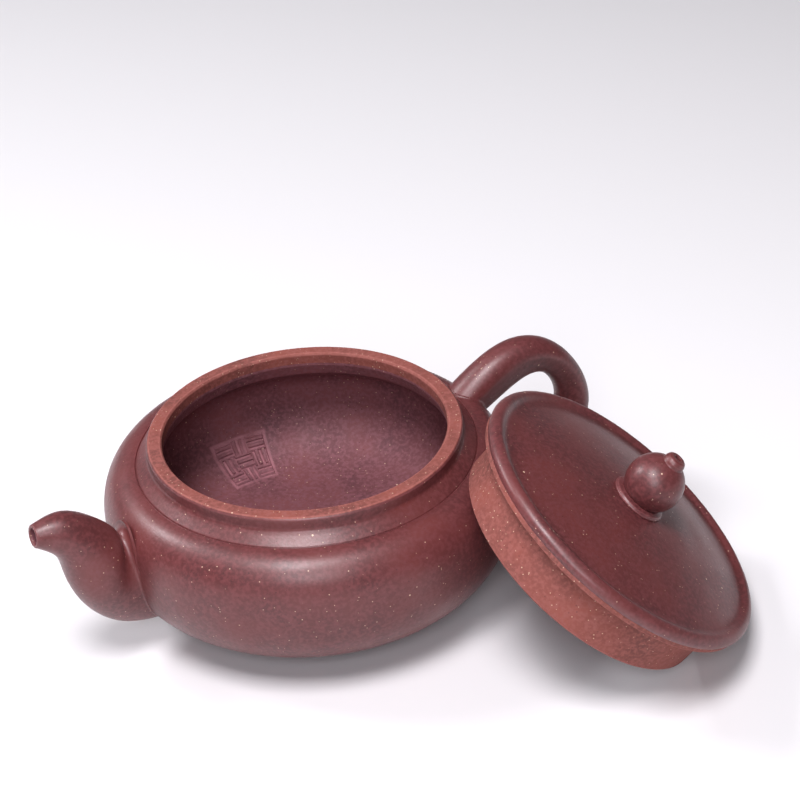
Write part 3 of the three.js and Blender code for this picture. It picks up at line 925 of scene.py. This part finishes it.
def soft_loop(points):
    """A closed outline with its corners rounded, started in the middle of its first side."""
    ring = np.array(points, float)
    start = (ring[0] + ring[1]) / 2
    ring = np.concatenate([[start], ring[1:], ring[:1], [start]])
    fine = even(ring, FINE)
    reach = int(4 * LOOP_SOFTNESS / FINE)
    weight = np.exp(-0.5 * (np.arange(-reach, reach + 1) * FINE / LOOP_SOFTNESS) ** 2)
    weight /= weight.sum()
    padded = np.concatenate([fine[-reach - 1 : -1], fine, fine[1 : reach + 1]])
    round_loop = np.stack([np.convolve(column, weight, "valid") for column in padded.T], axis=1)
    return rows_of(round_loop, LONGEST_ROW, SHARPEST_ROW)[:-1]


def lid_loop(name, node, points, finish):
    """A ring of the lid from its closed outline."""
    rows = soft_loop(points)
    # Edges painted lighter: rubbed wear and a painted highlight.
    make_piece(name, node, on_lid(rows), True, [finish], wear_and_highlight=lit_and_rubbed_edges(rows))


def lid_skin(size):
    """The lid's upper skin: from the knob's ring down the crown, through a trough and over the bead.

    Returns the rounded skin and the row where crown and bead meet.
    """
    radius = np.linspace(size.ring_radius - 0.6, size.bead_inner - 1.2, 60)
    fall = (size.crown_top - CROWN_EDGE) / (1 - (size.ring_radius / size.bead_inner) ** 2)
    crown = np.stack([radius, CROWN_EDGE + fall * (1 - (radius / size.bead_inner) ** 2)], axis=1)
    b, top = size.bead_radius, size.bead_top
    trough = [[size.bead_inner - 0.2, 3.45], [size.bead_inner + 0.4, 3.42]]
    roll = [[b - 3.4, 3.6], [b - 2.9, 4.0], [b - 2.3, top - 0.02], [b - 1.7, top], [b - 1.0, 4.0]]
    roll += [[b - 0.4, 3.45], [b - 0.08, 2.8], [b, 2.3], [b - 0.15, 1.8], [b - 0.5, size.seat_top]]
    points = np.concatenate([crown, trough, roll])
    fine = even(points, FINE)
    skin = smoothed(fine, LID_SOFTNESS, FINE)
    meet = int(np.argmin(np.abs(fine[:, 0] - size.bead_inner) + (fine[:, 1] > 3.5)))
    return skin, meet


class TEAPOT_OT_add_lid(bpy.types.Operator):
    """Add the lid's crown, bead, seat and collar"""

    bl_idname = "teapot.add_lid"
    bl_label = "Lid"

    def execute(self, context):
        size = context.scene.teapot_lid
        outside, bare, inside = burnished_clay(), bare_clay(), inner_clay()
        skin, meet = lid_skin(size)
        bead = rows_of(skin[meet:], LONGEST_ROW, SHARPEST_ROW)
        low = [[size.bead_inner, size.seat_top]]
        rows = np.concatenate([low, bead[::-1]])
        # The bead's roll is painted lighter: rubbed wear and a painted highlight along it.
        wear_and_highlight = np.concatenate([[0], lit_and_rubbed_edges(bead[::-1])])
        wear_and_highlight[[1, -1]] = 0
        make_piece("bead_clay", "lid_bead", on_lid(rows), True, [outside], wear_and_highlight=wear_and_highlight)
        crown = rows_of(skin[: meet + 1], LONGEST_ROW, SHARPEST_ROW)[::-1]
        hole, thin = size.vent_radius, 3.2
        under_radius = np.linspace(hole, size.seat_inner, 40)
        arch = (size.crown_top - thin - size.seat_top) * (1 - (under_radius / size.seat_inner) ** 2)
        under = np.stack([under_radius, size.seat_top + arch], axis=1)
        neck = [[size.ring_radius - 1.6, size.crown_top - 0.02], [hole, size.crown_top - 0.02]]
        rows = np.concatenate([[[size.bead_inner, size.seat_top]], crown, neck, under])
        zone = np.repeat([0, 1], [1 + len(crown) + len(neck), len(under)])
        make_piece("crown_clay", "lid_crown", on_lid(rows), True, [outside, inside], zone)
        s, t = size.seat_radius, size.seat_top
        seat = [[size.seat_inner, t], [size.seat_inner, 0], [s, 0], [s, t]]
        lid_loop("seat_clay", "lid_seat", seat, bare)
        c, i, d = size.collar_radius, size.collar_inner, size.collar_depth
        collar = [[i, 0], [i, 0.35 - d], [i + 0.35, -d], [c - 0.45, -d], [c, 0.45 - d], [c, 0]]
        lid_loop("collar_clay", "lid_collar", collar, bare)
        return {"FINISHED"}


class TEAPOT_OT_add_knob(bpy.types.Operator):
    """Add the knob's ring, ball and tip with the vent hole"""

    bl_idname = "teapot.add_knob"
    bl_label = "Knob"

    def execute(self, context):
        size = context.scene.teapot_lid
        finish = burnished_clay()
        v, r, low, top = size.vent_radius, size.ring_radius, size.crown_top, size.ring_top
        ring = [[v, top], [v, low], [r - 0.1, low], [r, low + 0.45], [r - 0.35, top - 0.35], [r - 1.3, top]]
        lid_loop("knob_ring_clay", "knob_ring", ring, finish)
        centre = (size.ring_top + size.tip_low) / 2 - 0.9
        start = math.asin(max(-1, (top - centre) / size.knob_radius))
        end = math.asin(min(1, (size.tip_low - centre) / size.knob_radius))
        turn = np.linspace(start, end, 40)
        ball = np.stack([size.knob_radius * np.cos(turn), centre + size.knob_radius * np.sin(turn)], axis=1)
        knob = np.concatenate([[[v, size.tip_low], [v, top]], ball])
        lid_loop("knob_clay", "knob", knob, finish)
        t, a, b = size.tip_radius, size.tip_low, size.tip_top
        tip = [[v, b], [v, a - 0.6], [t + 0.4, a - 0.6], [t + 0.1, a + 0.1], [t, a + 0.8]]
        tip += [[t - 0.35, b - 0.35], [t - 0.9, b]]
        lid_loop("knob_tip_clay", "knob_tip", tip, finish)
        return {"FINISHED"}


# ---- stage ----
FLOOR_FRONT = -3.0
FLOOR_BACK = 1.6
FLOOR_BEND = 0.6  # radius of the bend behind the pot
FLOOR_TOP = 3.5
FLOOR_SIDE = 4.0

def plain_finish(name, value, roughness):
    """A plain painted finish, for the floor."""
    material = bpy.data.materials.new(name)
    material.use_nodes = True
    shader = material.node_tree.nodes["Principled BSDF"]
    shader.inputs["Base Color"].default_value = (*value, 1)
    shader.inputs["Roughness"].default_value = roughness
    return material


def soft_light(name, toward, distance, side, power, tint):
    """A square area light that shines at the pot from a direction."""
    light = bpy.data.lights.new(name, "AREA")
    light.shape = "SQUARE"
    light.size = side
    light.energy = power
    light.color = tint
    lamp = bpy.data.objects.new(name, light)
    way = Vector(toward).normalized()
    lamp.location = way * distance
    lamp.rotation_euler = way.to_track_quat("Z", "Y").to_euler()
    bpy.context.scene.collection.objects.link(lamp)


class TEAPOT_OT_add_stage(bpy.types.Operator):
    """Add the pale floor, the soft lights and the camera"""

    bl_idname = "teapot.add_stage"
    bl_label = "Stage"

    def execute(self, context):
        scene = context.scene
        stage = scene.teapot_stage
        self.add_floor()
        soft_light("key_light", (-0.24, -0.27, 0.93), 0.9, 0.34, stage.key_power, (1, 0.97, 1))
        soft_light("fill_light", (-0.43, -0.69, 0.58), 1.2, 0.45, stage.fill_power, (0.93, 0.95, 1))
        soft_light("back_light", (-0.44, 0.55, 0.71), 1.0, 0.28, stage.back_power, (0.97, 0.97, 1))
        world = bpy.data.worlds.new("pale_room")
        world.use_nodes = True
        world.node_tree.nodes["Background"].inputs["Color"].default_value = (0.93, 0.92, 0.95, 1)
        world.node_tree.nodes["Background"].inputs["Strength"].default_value = stage.sky
        scene.world = world
        scene.view_settings.view_transform = "Standard"
        scene.view_settings.look = "Medium High Contrast"
        self.add_camera(scene, stage)
        return {"FINISHED"}

    def add_floor(self):
        """A wide pale floor that curves up behind the pot, as a profile carried along X."""
        turn = np.linspace(0, math.pi / 2, 24)
        bend = FLOOR_BEND * np.stack([np.sin(turn), 1 - np.cos(turn)], axis=1) + [FLOOR_BACK, 0]
        profile = np.concatenate([[[FLOOR_FRONT, 0.0]], bend, [[FLOOR_BACK + FLOOR_BEND, FLOOR_TOP]]])
        sides = np.array([-FLOOR_SIDE, FLOOR_SIDE])
        points = np.stack(np.broadcast_arrays(sides[None, :], profile[:, :1], profile[:, 1:]), axis=-1)
        number = np.arange(points.shape[0] * 2).reshape(-1, 2)
        faces = np.stack([number[:-1, 0], number[:-1, 1], number[1:, 1], number[1:, 0]], axis=1)
        mesh = bpy.data.meshes.new("floor")
        mesh.from_pydata(points.reshape(-1, 3).tolist(), [], faces.tolist())
        mesh.shade_smooth()
        mesh.materials.append(plain_finish("floor_paint", (0.80, 0.79, 0.80), 0.7))
        floor = bpy.data.objects.new("floor", mesh)
        bpy.context.scene.collection.objects.link(floor)

    def add_camera(self, scene, stage):
        """The camera looks back along the view direction, turned by the roll."""
        a, e, r = stage.azimuth, stage.elevation, stage.roll
        back = Vector((math.sin(a) * math.cos(e), -math.cos(a) * math.cos(e), math.sin(e)))
        level = Vector((math.cos(a), math.sin(a), 0))
        right = math.cos(r) * level + math.sin(r) * back.cross(level)
        up = back.cross(right)
        place = Vector(stage.aim) + back * stage.distance
        lens = bpy.data.cameras.new("camera")
        lens.lens = stage.lens
        lens.sensor_width = 36
        camera = bpy.data.objects.new("camera", lens)
        camera.matrix_world = Matrix.Translation(place) @ Matrix((right, up, back)).transposed().to_4x4()
        scene.collection.objects.link(camera)
        scene.camera = camera


class TEAPOT_PT_sidebar(bpy.types.Panel):
    """Lists the pieces to add and their settings."""

    bl_label = "Clay Teapot"
    bl_idname = "TEAPOT_PT_sidebar"
    bl_space_type = "VIEW_3D"
    bl_region_type = "UI"
    bl_category = "Teapot"

    def draw(self, context):
        for operator in OPERATORS:
            self.layout.operator(operator.bl_idname)
        for name in SETTINGS:
            group = getattr(context.scene, name)
            box = self.layout.box()
            for key in group.__annotations__:
                box.prop(group, key)


SETTINGS = {
    "teapot_pot": TeapotPotSizes,
    "teapot_lid": TeapotLidSizes,
    "teapot_colours": TeapotClayColours,
    "teapot_stage": TeapotStageSettings,
}
OPERATORS = (
    TEAPOT_OT_add_stage,
    TEAPOT_OT_add_pot,
    TEAPOT_OT_add_spout,
    TEAPOT_OT_add_handle,
    TEAPOT_OT_add_lid,
    TEAPOT_OT_add_knob,
)


def register():
    for kind in (*SETTINGS.values(), *OPERATORS, TEAPOT_PT_sidebar):
        bpy.utils.register_class(kind)
    for name, kind in SETTINGS.items():
        setattr(bpy.types.Scene, name, PointerProperty(type=kind))


def unregister():
    for name in SETTINGS:
        delattr(bpy.types.Scene, name)
    for kind in reversed((*SETTINGS.values(), *OPERATORS, TEAPOT_PT_sidebar)):
        bpy.utils.unregister_class(kind)


def main():
    register()
    bpy.ops.teapot.add_stage()
    bpy.ops.teapot.add_pot()
    bpy.ops.teapot.add_spout()
    bpy.ops.teapot.add_handle()
    bpy.ops.teapot.add_lid()
    bpy.ops.teapot.add_knob()


if __name__ == "__main__":
    main()
